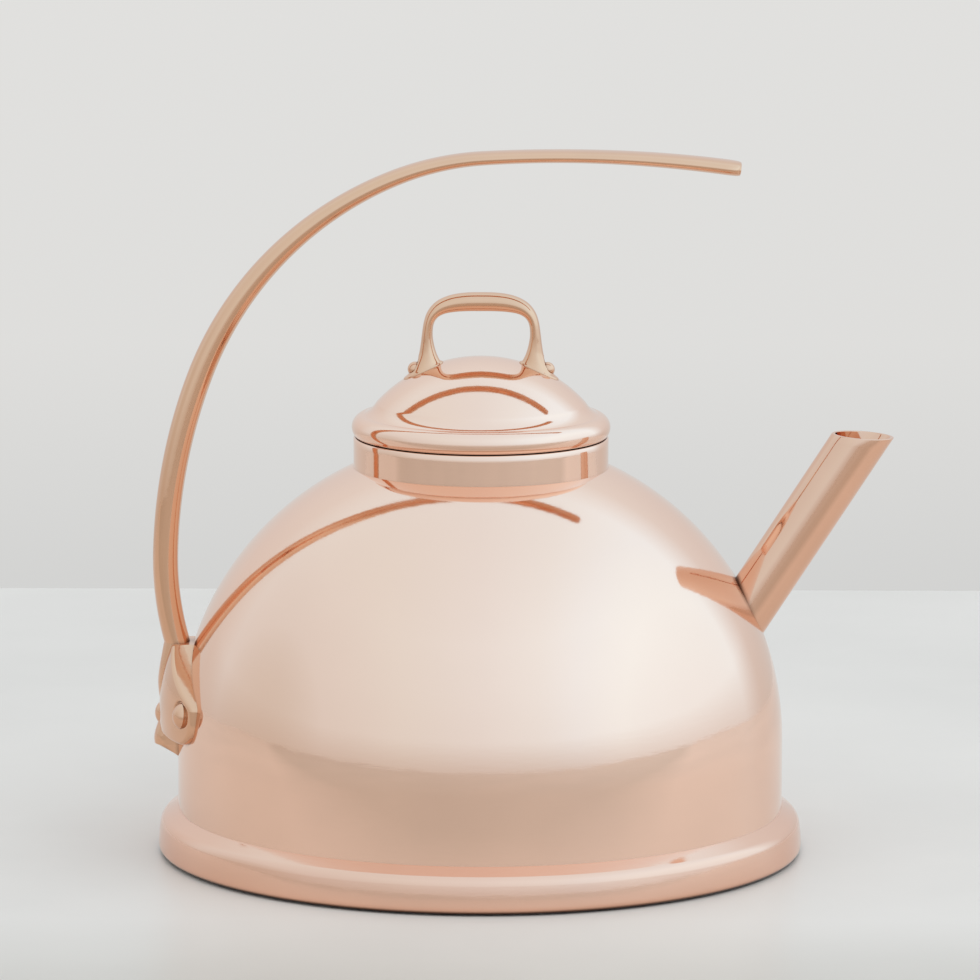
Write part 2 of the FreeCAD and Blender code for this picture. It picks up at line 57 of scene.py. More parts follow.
# --- sizes in millimetres; the CAD's own sizes where no box gives them ---------------------
BODY_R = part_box("body_shell")[1].x / MM
DOME_Z = 37.4             # the dome's centre; the wall below it is upright
SHEET = 1.2
BASE_SHEET = 1.6
MOUTH_R = 42.0
DOME_MID_ANGLE = 35.0     # a place on the dome's arc, degrees above its centre
FOOT_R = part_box("foot_ring")[1].y / MM
FOOT_TOP_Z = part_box("foot_ring")[1].z / MM
FOOT_WIDEST_Z = 2.6
FOOT_REST_R = 103.4
FOOT_LEDGE_R = 94.0
# how far out from the wall and down from the foot's top
FOOT_SLOPE = (4.0, 2.5)
FOOT_CORNER = (5.2, 3.7)
FOOT_BAND = (5.85, 5.4)
FOOT_LIP_INSIDE = 1.4
FOOT_SLOPE_INSIDE = (3.36, 3.5)
FOOT_CORNER_INSIDE = (4.15, 4.35)
FOOT_BAND_INSIDE = (4.65, 5.6)
# in from the widest radius and up from it
FOOT_BELLY = (0.2, 3.6)
FOOT_BELLY_INSIDE = (1.4, 3.5)
FOOT_ROLL_R = 2.2
FOOT_ROLL_TURN = 72.0     # degrees
NECK_TOP_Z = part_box("neck_collar")[1].z / MM
NECK_FLANGE_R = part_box("neck_collar")[1].x / MM
NECK_FLANGE_THICK = 1.0
NECK_WALL = 1.6
NECK_LIP = 0.5
LID_GAP = 0.3
LID_TOP_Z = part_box("lid_dome")[1].z / MM
LID_DOME_R = 46.7
LID_SHEET = 1.0
BEAD_R = 4.2
BEAD_CENTRE = (38.4, 141.4)
BEAD_TOP_ANGLE = 87.0
BEAD_MID_ANGLE = 20.0
LID_COVE = (36.9, 146.6)
LID_COVE_INSIDE = (-0.45, -0.95)   # from the cove's outside to its inside
LID_DOME_EDGE_R = 34.6
LID_DOME_MID_ANGLE = 70.0
LID_EDGE_SHIFT = 0.9      # the sheet's inside edge is nearer the axis, by this share of the sheet
SKIRT_R = 39.8
SKIRT_WALL = 1.0
SKIRT_LOW_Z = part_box("lid_skirt")[0].z / MM
SKIRT_FLANGE_R = 40.0
SKIRT_FLANGE_THICK = 1.0
SKIRT_FLANGE_SLOPE = 0.2  # the flange is wider at its top by this much
SPOUT_R = 8.95
SPOUT_WALL = 1.0
SPOUT_ANGLE = math.radians(57.1)
SPOUT_AXIS = Vector((math.cos(SPOUT_ANGLE), 0, math.sin(SPOUT_ANGLE)))
SPOUT_MOUTH = Vector((125.7, 0, 138.9))
SPOUT_TILT = math.radians(3.8)
SPOUT_TUBE = 74.0         # length of the tube before it is trimmed to the dome
SPOUT_INSIDE = 1.0        # the trimmed tube reaches this far inside the sheet
SPOUT_HOLE_REACH = 94.0   # the body is open this far along the spout's axis from the mouth
SPOUT_HOLE_INSIDE = 0.2   # the opening's radius is this much less than the tube's
SPOUT_RIM = 0.25          # rounding of the rim
BOW_START = Vector((-100.3, 0, 69.5))
BOW_HEADING = math.radians(105.5)
BOW_ARCS = [(102.0, 17.0), (179.0, 19.4), (114.0, 47.0), (93.0, 18.6), (420.0, 11.5)]
BOW_THICK = 8.4
BOW_THIN = 4.3
BOW_TIP_THICK = 5.0
BOW_TAPER_FROM = 0.25     # shares of the length
BOW_THIN_AT = 0.8
BOW_WIDEN_FROM = 0.5
BOW_WIDTH = 12.0
BOW_TIP_WIDTH = 14.0
BOW_SQUARENESS = 2.1
BOW_ROOT = 9.0            # the bar runs on this far into the flange
BOW_TIP_ROUND = 5.0
BOW_TIP_EDGE = 0.5        # the last of the tip's length, where its edge is rounded
# for the tip and then its edge: the shares of thickness and width taken off, and the steps
BOW_TIP_LESS = (0.09, 0.24, 16)
BOW_EDGE_LESS = (0.16, 0.06, 6)
BOW_INSIDE = 0.01         # the skin lies this far inside the CAD's bow
FLANGE_TOP_Z = 69.5
FLANGE_LOW_Z = 40.0
FLANGE_SHOULDER_Z = 53.5
FLANGE_TOP_HALF = 8.0
FLANGE_HALF = 35.5
FLANGE_CORNER_R = 8.0
FLANGE_EDGE = 1.1         # rounding of the flange's rim
FLANGE_SHOULDER_BLEND = 2.5
FLANGE_SUNK = 0.5         # the flange's rim ends this far inside the wall
CROWN_R = 61.2
CROWN_X = -45.0
CROWN_Z = 47.0
RIB_HALF = 6.0
RIB_ROUND = 4.2           # depth of the rib's rounded front
# the rib's outline, within 0.2 of the CAD's
RIB_OUTER = [(-104.4, 70.5), (-106.6, 57.0), (-105.9, 46.5), (-107.85, 38.5), (-107.9, 35.4)]
TOE_LOW = (-99.9, 31.6)
TOE_SUNK = 0.3            # the toe's tip ends this far inside the wall
RIB_BACK_X = -92.0        # the rib's sides run in to here, inside the body
RIB_BACK_TOP = 66.0
RIVET_MID_Z = 45.0
RIVET_SIDE_Z = 49.5
RIVET_SPREAD = 17.0
RIVET_HEAD_R = 4.3
RIVET_HEAD_H = 2.6
SEAT_MID = 105.4
SEAT_SIDE = 103.3
SEAT_RIM = 0.75           # a seat's edge lies this far outside the head
SEAT_BLEND = 0.4
WASHER_THICK = 1.0
# a bow rivet's tail: radius, and how far below the washer
RIVET_TAIL = [(AXIS_R, 1.6), (1.6, 1.4), (3.0, 0.9), (3.9, 0.0), (AXIS_R, 0.0)]
# the softened rim of every head: share of its radius, and height from the seat
HEAD_RIM = [(0.96, -1.0), (0.97, 0.05), (0.985, 0.12)]
# half of the lid's loop, from the middle of its top: place across, height, lean of the
# section in degrees, half thickness, half width
LOOP_STATIONS = [
    (0.0, 182.85, 0, 3.15, 3.8),
    (5.0, 182.75, 3, 3.1, 3.8),
    (9.5, 182.2, 14, 2.9, 3.7),
    (13.3, 180.9, 34, 2.5, 3.6),
    (15.9, 178.7, 58, 2.0, 3.5),
    (17.25, 175.8, 78, 1.7, 3.4),
    (17.75, 172.0, 90, 1.8, 3.4),
    (17.75, 168.5, 93, 2.25, 3.5),
    (17.7, 165.4, 99, 3.0, 3.8),
    (18.1, 162.9, 107, 4.3, 4.3),
    (18.7, 161.1, 113, 5.7, 4.9),
    (19.05, 160.2, 114, 7.0, 5.2),
    (18.5, 158.8, 114, 7.1, 5.3),
]
LID_RIVET_ANGLE = math.radians(27.0)
LID_RIVET_HEAD_R = 2.5
LID_RIVET_HEAD_H = 2.6
LID_SEAT_HEIGHT = 1.0
LID_SEAT_RIM = 0.5
LID_SEAT_BLEND = 0.3
LID_WASHER_THICK = 0.8
# a lid rivet's tail, in the same way
LID_TAIL = [(AXIS_R, 1.1), (1.2, 0.9), (2.4, 0.0), (AXIS_R, 0.0)]
LOOP_ABOVE = 0.01         # the loop's skin ends this far above the lid's

DOME_CENTRE = Vector((0, 0, DOME_Z))
LID_CENTRE = Vector((0, 0, LID_TOP_Z - LID_DOME_R))
LID_LOW_Z = NECK_TOP_Z + LID_GAP
LID_SEAT = LID_DOME_R + LID_SEAT_HEIGHT
LID_RIVET_AXES = [Vector((side * math.sin(LID_RIVET_ANGLE), 0, math.cos(LID_RIVET_ANGLE)))
                  for side in (-1, 1)]


# --- materials ----------------------------------------------------------------------------

def link(tree, source, target):
    tree.links.new(source, target)


def mixed(tree, share, first, second):
    made = tree.nodes.new("ShaderNodeMix")
    made.data_type = "RGBA"
    link(tree, share, made.inputs["Factor"])
    link(tree, first, made.inputs["A"])
    link(tree, second, made.inputs["B"])
    return made.outputs["Result"]


# painted shade: a dark copper colour for narrow corners and gaps, where shade falls
CREVICE_SHADE = (0.13, 0.045, 0.02)
CREVICE_SHADE_REACH = 0.003     # metres from a surface to what makes a corner with it
CREVICE_SHADE_OPEN = (0.3, 0.75)         # full painted shade below the first openness, none above the next
CLOUD_DARK = 0.965        # how dark the darker clouds of tone are
CLOUD_SPAN = (0.3, 0.7)
MARKS_FINER = 9           # the fine marks are this much finer than the clouds
MARKS_SPAN = (0.3, 0.75)
MARKS_DEPTH = 0.0002      # metres


def metal(name, colour, rough, rough_spread, bump, scale, streak):
    """Polished metal: its tone, its roughness and its surface all vary a little.

    It has painted shade in narrow corners, a dark colour put there by an occlusion mask.
    streak stretches the fine marks: 1 is even, and more makes rings round the kettle's axis.
    """
    made = bpy.data.materials.new(name)
    made.use_nodes = True
    tree = made.node_tree
    shader = tree.nodes["Principled BSDF"]
    shader.inputs["Metallic"].default_value = 1.0
    place = tree.nodes.new("ShaderNodeTexCoord")

    clouds = tree.nodes.new("ShaderNodeTexNoise")
    clouds.inputs["Scale"].default_value = scale
    clouds.inputs["Detail"].default_value = 3.0
    link(tree, place.outputs["Object"], clouds.inputs["Vector"])

    tone = tree.nodes.new("ShaderNodeValToRGB")
    darker = [part * CLOUD_DARK for part in colour]
    tone.color_ramp.elements[0].position = CLOUD_SPAN[0]
    tone.color_ramp.elements[0].color = (*darker, 1)
    tone.color_ramp.elements[1].position = CLOUD_SPAN[1]
    tone.color_ramp.elements[1].color = (*colour, 1)
    link(tree, clouds.outputs["Fac"], tone.inputs["Fac"])

    # painted shade: an occlusion mask puts the dark colour into narrow corners
    crevice = tree.nodes.new("ShaderNodeAmbientOcclusion")
    crevice.samples = 8
    crevice.inputs["Distance"].default_value = CREVICE_SHADE_REACH
    open_share = tree.nodes.new("ShaderNodeMapRange")
    open_share.inputs["From Min"].default_value = CREVICE_SHADE_OPEN[0]
    open_share.inputs["From Max"].default_value = CREVICE_SHADE_OPEN[1]
    link(tree, crevice.outputs["AO"], open_share.inputs["Value"])
    crevice_shade_colour = tree.nodes.new("ShaderNodeRGB")
    crevice_shade_colour.outputs["Color"].default_value = (*CREVICE_SHADE, 1)
    toned = mixed(tree, open_share.outputs["Result"], crevice_shade_colour.outputs["Color"],
                  tone.outputs["Color"])
    link(tree, toned, shader.inputs["Base Color"])

    stretch = tree.nodes.new("ShaderNodeMapping")
    stretch.inputs["Scale"].default_value = (1, 1, streak)
    link(tree, place.outputs["Object"], stretch.inputs["Vector"])
    marks = tree.nodes.new("ShaderNodeTexNoise")
    marks.inputs["Scale"].default_value = scale * MARKS_FINER
    marks.inputs["Detail"].default_value = 4.0
    link(tree, stretch.outputs["Vector"], marks.inputs["Vector"])

    wear = tree.nodes.new("ShaderNodeMapRange")
    wear.inputs["From Min"].default_value = MARKS_SPAN[0]
    wear.inputs["From Max"].default_value = MARKS_SPAN[1]
    wear.inputs["To Min"].default_value = rough
    wear.inputs["To Max"].default_value = rough + rough_spread
    link(tree, marks.outputs["Fac"], wear.inputs["Value"])
    link(tree, wear.outputs["Result"], shader.inputs["Roughness"])

    relief = tree.nodes.new("ShaderNodeBump")
    relief.inputs["Strength"].default_value = bump
    relief.inputs["Distance"].default_value = MARKS_DEPTH
    link(tree, marks.outputs["Fac"], relief.inputs["Height"])
    link(tree, relief.outputs["Normal"], shader.inputs["Normal"])
    return made


COPPER = (0.93, 0.60, 0.45)
# name, colour, roughness and its spread, bump, size of the clouds, streak
polished = metal("polished_copper", COPPER, 0.05, 0.05, 0.05, 14.0, 6.0)
cast = metal("cast_copper", (0.78, 0.44, 0.275), 0.05, 0.06, 0.08, 40.0, 1.0)
tubing = metal("spout_copper", (0.82, 0.475, 0.325), 0.05, 0.05, 0.06, 30.0, 1.0)
worn = metal("foot_copper", (0.87, 0.51, 0.365), 0.06, 0.06, 0.08, 20.0, 4.0)
riveted = metal("rivet_copper", (0.78, 0.44, 0.28), 0.08, 0.08, 0.08, 90.0, 1.0)
tinned = metal("tinned_copper", (0.78, 0.76, 0.73), 0.22, 0.16, 0.15, 60.0, 4.0)
brushed = metal("base_copper", (0.82, 0.50, 0.37), 0.28, 0.15, 0.2, 60.0, 1.0)


# --- mesh tools -----------------------------------------------------------------------------

def skin(name, points, faces, body, nodes, material, sharp=35):
    """A smooth mesh made from points in millimetres, standing for CAD nodes."""
    mesh = bpy.data.meshes.new(name)
    mesh.from_pydata([tuple(Vector(point) * MM) for point in points], [], faces)
    tidy = bmesh.new()
    tidy.from_mesh(mesh)
    bmesh.ops.remove_doubles(tidy, verts=tidy.verts, dist=1e-7)
    bmesh.ops.recalc_face_normals(tidy, faces=tidy.faces)
    tidy.to_mesh(mesh)
    tidy.free()
    mesh.shade_smooth()
    mesh.set_sharp_from_angle(angle=math.radians(sharp))
    mesh.materials.append(material)
    made = bpy.data.objects.new(name, mesh)
    bpy.context.scene.collection.objects.link(made)
    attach(made, body)
    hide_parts(*nodes)


def grid_faces(rows, columns, closed_rows=False, closed_columns=False, first=0):
    """Quads between rows of points; either way round may close on itself."""
    faces = []
    for row in range(rows if closed_rows else rows - 1):
        for column in range(columns if closed_columns else columns - 1):
            row_next = (row + 1) % rows
            column_next = (column + 1) % columns
            faces.append((
                first + row * columns + column,
                first + row * columns + column_next,
                first + row_next * columns + column_next,
                first + row_next * columns + column,
            ))
    return faces


def arc(start, middle, end, steps):
    """Points on the arc through three (radius, height) points, the first left out."""
    ax, ay = start
    bx, by = middle
    cx, cy = end
    scale = 2 * (ax * (by - cy) + bx * (cy - ay) + cx * (ay - by))
    aa = ax * ax + ay * ay
    bb = bx * bx + by * by
    cc = cx * cx + cy * cy
    ox = (aa * (by - cy) + bb * (cy - ay) + cc * (ay - by)) / scale
    oy = (aa * (cx - bx) + bb * (ax - cx) + cc * (bx - ax)) / scale
    radius = math.hypot(ax - ox, ay - oy)
    first = math.atan2(ay - oy, ax - ox)
    way = [(math.atan2(y - oy, x - ox) - first) % ROUND for x, y in (middle, end)]
    sweep = way[1] if way[0] < way[1] else way[1] - ROUND
    points = []
    for step in range(1, steps + 1):
        turn = first + sweep * step / steps
        points.append((ox + radius * math.cos(turn), oy + radius * math.sin(turn)))
    return points


def straight(start, end, steps):
    return [(start[0] + (end[0] - start[0]) * step / steps,
             start[1] + (end[1] - start[1]) * step / steps) for step in range(1, steps + 1)]


def spin(profile, segments, origin=Vector((0, 0, 0)), out=UP):
    """Points of a closed profile spun about an axis, and the faces between them."""
    turn_to = UP.rotation_difference(out)
    points = []
    for step in range(segments):
        turn = ROUND * step / segments
        for radius, height in profile:
            place = Vector((radius * math.cos(turn), radius * math.sin(turn), height))
            points.append(turn_to @ place + origin)
    return points, grid_faces(segments, len(profile), True, True)


def height_on_dome(radius, offset):
    """Height of the dome at a radius, on a sphere this much larger than its outside."""
    return DOME_Z + math.sqrt((BODY_R + offset) ** 2 - radius ** 2)


def on_circle(centre, radius, degrees):
    turn = math.radians(degrees)
    return (centre[0] + radius * math.cos(turn), centre[1] + radius * math.sin(turn))


def smooth_step(share):
    share = max(0.0, min(1.0, share))
    return share * share * (3 - 2 * share)


# --- spun pieces ----------------------------------------------------------------------------

def make_body():
    inner = BODY_R - SHEET
    middle = (0, DOME_Z)
    wall_low = (BODY_R, BASE_SHEET)
    shoulder = (BODY_R, DOME_Z)
    mouth = (MOUTH_R, height_on_dome(MOUTH_R, 0))
    mouth_inside = (MOUTH_R, height_on_dome(MOUTH_R, -SHEET))
    profile = [wall_low]
    profile += straight(wall_low, shoulder, 14)
    profile += arc(shoulder, on_circle(middle, BODY_R, DOME_MID_ANGLE), mouth, 130)
    profile += [mouth_inside]
    profile += arc(mouth_inside, on_circle(middle, inner, DOME_MID_ANGLE), (inner, DOME_Z), 60)
    profile += straight((inner, DOME_Z), (inner, BASE_SHEET), 5)
    points, faces = spin(profile, BODY_TURN_STEPS)

    def in_spout(index):
        away = points[index] - SPOUT_MOUTH
        ahead = away.dot(SPOUT_AXIS)
        aside = (away - SPOUT_AXIS * ahead).length
        return ahead > -SPOUT_HOLE_REACH and aside < SPOUT_R - SPOUT_HOLE_INSIDE

    kept = [face for face in faces if not all(in_spout(index) for index in face)]
    skin("body_skin", points, kept, "kettle", ["body_shell"], polished)


def make_foot():
    def below_top(step):
        return (BODY_R + step[0], FOOT_TOP_Z - step[1])

    def above_widest(step):
        return (FOOT_R - step[0], FOOT_WIDEST_Z + step[1])

    top = (BODY_R, FOOT_TOP_Z)
    widest = (FOOT_R, FOOT_WIDEST_Z)
    inner_widest = (FOOT_R - SHEET, FOOT_WIDEST_Z)
    roll = (FOOT_R - FOOT_ROLL_R, FOOT_WIDEST_Z)
    inner_roll_r = FOOT_ROLL_R - SHEET
    heel = on_circle(roll, FOOT_ROLL_R, -FOOT_ROLL_TURN)
    inner_heel = on_circle(roll, inner_roll_r, -FOOT_ROLL_TURN)
    profile = [top]
    profile += straight(top, below_top(FOOT_SLOPE), 12)
    profile += arc(below_top(FOOT_SLOPE), below_top(FOOT_CORNER), below_top(FOOT_BAND), 20)
    profile += arc(below_top(FOOT_BAND), above_widest(FOOT_BELLY), widest, 16)
    profile += arc(widest, on_circle(roll, FOOT_ROLL_R, -FOOT_ROLL_TURN / 2), heel, 14)
    profile += [(FOOT_REST_R, 0), (FOOT_LEDGE_R, 0), (FOOT_LEDGE_R, BASE_SHEET)]
    run_in = math.tan(math.radians(FOOT_ROLL_TURN))
    profile += [(inner_heel[0] - (inner_heel[1] - BASE_SHEET) * run_in, BASE_SHEET), inner_heel]
    profile += arc(inner_heel, on_circle(roll, inner_roll_r, -FOOT_ROLL_TURN / 2), inner_widest, 8)
    inner_band = below_top(FOOT_BAND_INSIDE)
    profile += arc(inner_widest, above_widest(FOOT_BELLY_INSIDE), inner_band, 6)
    profile += arc(inner_band, below_top(FOOT_CORNER_INSIDE), below_top(FOOT_SLOPE_INSIDE), 8)
    profile += [(BODY_R, FOOT_TOP_Z - FOOT_LIP_INSIDE)]
    points, faces = spin(profile, BODY_TURN_STEPS)
    skin("foot_skin", points, faces, "kettle", ["foot_ring"], worn, 50)


def make_base():
    edge = BODY_R - SHEET
    profile = [(AXIS_R, BASE_SHEET)]
    profile += straight((AXIS_R, BASE_SHEET), (edge, BASE_SHEET), 12)
    profile += straight((edge, 2 * BASE_SHEET), (AXIS_R, 2 * BASE_SHEET), 12)
    points, faces = spin(profile, BASE_TURN_STEPS)
    skin("base_skin", points, faces, "kettle", ["base_plate"], brushed)


def make_neck():
    inner = MOUTH_R - NECK_WALL
    rim = NECK_TOP_Z - NECK_LIP
    under = -SHEET
    low = -SHEET - NECK_FLANGE_THICK
    foot = (MOUTH_R, height_on_dome(MOUTH_R, under))
    profile = [foot]
    profile += straight(foot, (MOUTH_R, rim), 6)
    profile += arc((MOUTH_R, rim), ((inner + MOUTH_R) / 2, NECK_TOP_Z), (inner, rim), 10)
    profile += straight((inner, rim), (inner, height_on_dome(inner, low)), 6)
    profile += [(NECK_FLANGE_R, height_on_dome(NECK_FLANGE_R, low))]
    profile += [(NECK_FLANGE_R, height_on_dome(NECK_FLANGE_R, under))]
    points, faces = spin(profile, LID_TURN_STEPS)
    skin("neck_skin", points, faces, "kettle", ["neck_collar"], polished)


def make_lid():
    inner_bead = BEAD_R - LID_SHEET
    centre = (0, LID_CENTRE.z)
    drop = LID_LOW_Z - BEAD_CENTRE[1]
    low_out = on_circle(BEAD_CENTRE, BEAD_R, math.degrees(math.asin(drop / BEAD_R)))
    low_in = (BEAD_CENTRE[0] + math.sqrt(inner_bead ** 2 - drop ** 2), LID_LOW_Z)
    middle_out = on_circle(BEAD_CENTRE, BEAD_R, BEAD_MID_ANGLE)
    middle_in = on_circle(BEAD_CENTRE, inner_bead, BEAD_MID_ANGLE)
    top_out = on_circle(BEAD_CENTRE, BEAD_R, BEAD_TOP_ANGLE)
    top_in = on_circle(BEAD_CENTRE, inner_bead, BEAD_TOP_ANGLE)
    cove_in = (LID_COVE[0] + LID_COVE_INSIDE[0], LID_COVE[1] + LID_COVE_INSIDE[1])
    inner_dome = LID_DOME_R - LID_SHEET
    edge_rise = math.sqrt(LID_DOME_R ** 2 - LID_DOME_EDGE_R ** 2)
    edge_out = (LID_DOME_EDGE_R, LID_CENTRE.z + edge_rise)
    edge_r = LID_DOME_EDGE_R - LID_SHEET * LID_EDGE_SHIFT
    edge_in = (edge_r, LID_CENTRE.z + math.sqrt(inner_dome ** 2 - edge_r ** 2))
    dome_out = on_circle(centre, LID_DOME_R, LID_DOME_MID_ANGLE)
    dome_in = on_circle(centre, inner_dome, LID_DOME_MID_ANGLE)
    profile = [low_out]
    profile += arc(low_out, middle_out, top_out, 36)
    profile += arc(top_out, LID_COVE, edge_out, 18)
    profile += arc(edge_out, dome_out, (AXIS_R, LID_TOP_Z), 70)
    profile += arc((AXIS_R, LID_TOP_Z - LID_SHEET), dome_in, edge_in, 40)
    profile += arc(edge_in, cove_in, top_in, 8)
    profile += arc(top_in, middle_in, low_in, 16)
    points, faces = spin(profile, LID_TURN_STEPS)
    skin("lid_skin", points, faces, "lid", ["lid_dome"], polished)


def make_skirt():
    inner = SKIRT_R - SKIRT_WALL
    top = LID_LOW_Z + SKIRT_FLANGE_THICK
    profile = [(inner, SKIRT_LOW_Z), (SKIRT_R, SKIRT_LOW_Z), (SKIRT_R, LID_LOW_Z),
               (SKIRT_FLANGE_R, LID_LOW_Z), (SKIRT_FLANGE_R + SKIRT_FLANGE_SLOPE, top),
               (inner, top)]
    points, faces = spin(profile, LID_TURN_STEPS)
    skin("skirt_skin", points, faces, "lid", ["lid_skirt"], tinned)


# --- spout ----------------------------------------------------------------------------------

def make_spout():
    side = Vector((0, 1, 0))
    level = side.cross(SPOUT_AXIS)
    normal = Vector((math.sin(SPOUT_TILT), 0, math.cos(SPOUT_TILT)))
    inner = SPOUT_R - SPOUT_WALL
    around = 160
    # each ring of points: radius, share of the way down the tube, depth below the mouth
    rings = [(SPOUT_R, 1 - step / 24, 0.0) for step in range(24)]
    rings.append((SPOUT_R, 0.0, SPOUT_RIM))
    for degrees in (30, 60, 90):
        turn = math.radians(degrees)
        rings.append((SPOUT_R - SPOUT_RIM * (1 - math.cos(turn)), 0.0,
                      SPOUT_RIM * (1 - math.sin(turn))))
    for degrees in (90, 60, 30, 0):
        turn = math.radians(degrees)
        rings.append((inner + SPOUT_RIM * (1 - math.cos(turn)), 0.0,
                      SPOUT_RIM * (1 - math.sin(turn))))
    rings += [(inner, step / 12, 0.0) for step in range(1, 13)]
    reach = BODY_R - SHEET - SPOUT_INSIDE
    points = []
    for radius, share, down in rings:
        for step in range(around):
            turn = ROUND * step / around
            away = (level * math.cos(turn) + side * math.sin(turn)) * radius
            mouth = -normal.dot(away) / normal.dot(SPOUT_AXIS) - down
            run = mouth + (-SPOUT_TUBE - mouth) * share
            point = SPOUT_MOUTH + away + SPOUT_AXIS * run
            from_dome = point - DOME_CENTRE
            if from_dome.length < reach:
                ahead = from_dome.dot(SPOUT_AXIS)
                trim = -ahead + math.sqrt(ahead ** 2 - from_dome.length_squared + reach ** 2)
                point += SPOUT_AXIS * trim
            points.append(point)
    faces = grid_faces(len(rings), around, True, True)
    skin("spout_skin", points, faces, "kettle", ["spout_tube"], tubing, 50)


# --- bow ------------------------------------------------------------------------------------

def bow_place(run):
    """Point and heading on the bow's centre line at a distance along it."""
    place = BOW_START.copy()
    heading = BOW_HEADING
    for radius, degrees in BOW_ARCS:
        part = min(run, radius * math.radians(degrees))
        half = heading - part / radius / 2
        chord = 2 * radius * math.sin(part / radius / 2)
        place += Vector((math.cos(half), 0, math.sin(half))) * chord
        heading -= part / radius
        run -= part
    return place, heading


def bow_size(share):
    """Half thickness and half width of the bow at a share of its length."""
    if share < BOW_THIN_AT:
        thinned = smooth_step((share - BOW_TAPER_FROM) / (BOW_THIN_AT - BOW_TAPER_FROM))
        thick = BOW_THICK - (BOW_THICK - BOW_THIN) * thinned
    else:
        thickened = smooth_step((share - BOW_THIN_AT) / (1 - BOW_THIN_AT))
        thick = BOW_THIN + (BOW_TIP_THICK - BOW_THIN) * thickened
    widened = smooth_step((share - BOW_WIDEN_FROM) / (1 - BOW_WIDEN_FROM))
    wide = BOW_WIDTH + (BOW_TIP_WIDTH - BOW_WIDTH) * widened
    return thick / 2, wide / 2


def rounded(turn, half_thick, half_wide):
    """A point on the slightly square oval section of the bow and the rib."""
    cosine = math.cos(turn)
    sine = math.sin(turn)
    power = 2 / BOW_SQUARENESS
    return (math.copysign(abs(cosine) ** power, cosine) * half_thick,
            math.copysign(abs(sine) ** power, sine) * half_wide)


def bow_points():
    length = sum(radius * math.radians(degrees) for radius, degrees in BOW_ARCS)
    around = 72
    # each section: distance along the bow, shares of the thickness and of the width
    stations = [(-BOW_ROOT + step * BOW_ROOT / 8, 1.0, 1.0) for step in range(8)]
    stations += [((length - BOW_TIP_ROUND) * step / 220, 1.0, 1.0) for step in range(221)]
    for reach, less in ((BOW_TIP_ROUND - BOW_TIP_EDGE, BOW_TIP_LESS),
                        (BOW_TIP_EDGE, BOW_EDGE_LESS)):
        first, thick, wide = stations[-1]
        less_thick, less_wide, steps = less
        for step in range(1, steps + 1):
            turn = math.pi / 2 * step / steps
            drop = 1 - math.cos(turn)
            stations.append((first + reach * math.sin(turn), thick - less_thick * drop,
                             wide - less_wide * drop))
    points = []
    for run, thick_share, wide_share in stations:
        half_thick, half_wide = bow_size(max(0.0, run) / length)
        half_thick -= BOW_INSIDE
        place, heading = bow_place(max(0.0, run))
        along = Vector((math.cos(heading), 0, math.sin(heading)))
        if run < 0:
            place = place + along * run
        across = Vector((-math.sin(heading), 0, math.cos(heading)))
        for step in range(around):
            first, second = rounded(ROUND * step / around, half_thick * thick_share,
                                    half_wide * wide_share)
            points.append(place + across * first + Vector((0, second, 0)))
    faces = grid_faces(len(stations), around, False, True)
    faces.append(tuple(range(around)))
    faces.append(tuple(range(len(points) - around, len(points))))
    return points, faces


def rivet_axes():
    """Name, direction from the dome's centre and height of the seat of each bow rivet."""
    axes = []
    for name, side, seat, height in (("near", -1, SEAT_SIDE, RIVET_SIDE_Z),
                                     ("centre", 0, SEAT_MID, RIVET_MID_Z),
                                     ("far", 1, SEAT_SIDE, RIVET_SIDE_Z)):
        rise = math.asin((height - DOME_Z) / BODY_R)
        turn = math.pi - math.radians(side * RIVET_SPREAD)
        out = Vector((math.cos(turn) * math.cos(rise), math.sin(turn) * math.cos(rise),
                      math.sin(rise)))
        axes.append((name, out, seat))
    return axes


def body_x(y, z):
    """The body's outside on the bow's side."""
    return -math.sqrt(BODY_R ** 2 - y * y - max(0.0, z - DOME_Z) ** 2)


def flange_half(z):
    """Half width of the flange at a height, with its round corners."""
    slope = (FLANGE_HALF - FLANGE_TOP_HALF) / (FLANGE_TOP_Z - FLANGE_SHOULDER_Z)
    upper = FLANGE_TOP_HALF + (FLANGE_TOP_Z - z) * slope
    blend = FLANGE_SHOULDER_BLEND
    share = max(0.0, min(1.0, 0.5 + (upper - FLANGE_HALF) / (2 * blend)))
    half = upper + (FLANGE_HALF - upper) * share - blend * share * (1 - share)
    if z < FLANGE_LOW_Z + FLANGE_CORNER_R:
        drop = FLANGE_LOW_Z + FLANGE_CORNER_R - z
        half -= FLANGE_CORNER_R - math.sqrt(max(0.0, FLANGE_CORNER_R ** 2 - drop ** 2))
    return half


def edge_drop(distance):
    """How far the rounded rim lies below the full height, at a distance inside it."""
    inside = max(0.0, 1 - max(0.0, distance) / FLANGE_EDGE)
    return FLANGE_EDGE * (1 - math.sqrt(max(0.0, 1 - inside ** 2)))


def seat_x(y, z, out, seat):
    """The plane of a rivet's seat, as a place along X."""
    return (seat - y * out.y - (z - DOME_Z) * out.z) / out.x


def flange_x(y, z):
    """The flange's outer face with its rivet seats, before its rim is rounded."""
    crown = CROWN_X - math.sqrt(CROWN_R ** 2 - y * y - (z - CROWN_Z) ** 2)
    for _, out, seat in rivet_axes():
        away = Vector((crown, y, z)) - DOME_CENTRE
        radial = (away - out * away.dot(out)).length
        sunk = smooth_step((RIVET_HEAD_R + SEAT_RIM - radial) / SEAT_BLEND)
        if sunk > 0:
            crown = max(crown, crown + (seat_x(y, z, out, seat) - crown) * sunk)
    return crown


def spread(even, steps):
    """Shares from -1 to 1, closer together near both ends. An even share of 1 is regular."""
    shares = []
    for step in range(steps + 1):
        regular = 2 * step / steps - 1
        shares.append(math.sin(math.pi / 2 * regular) * (1 - even) + regular * even)
    return shares


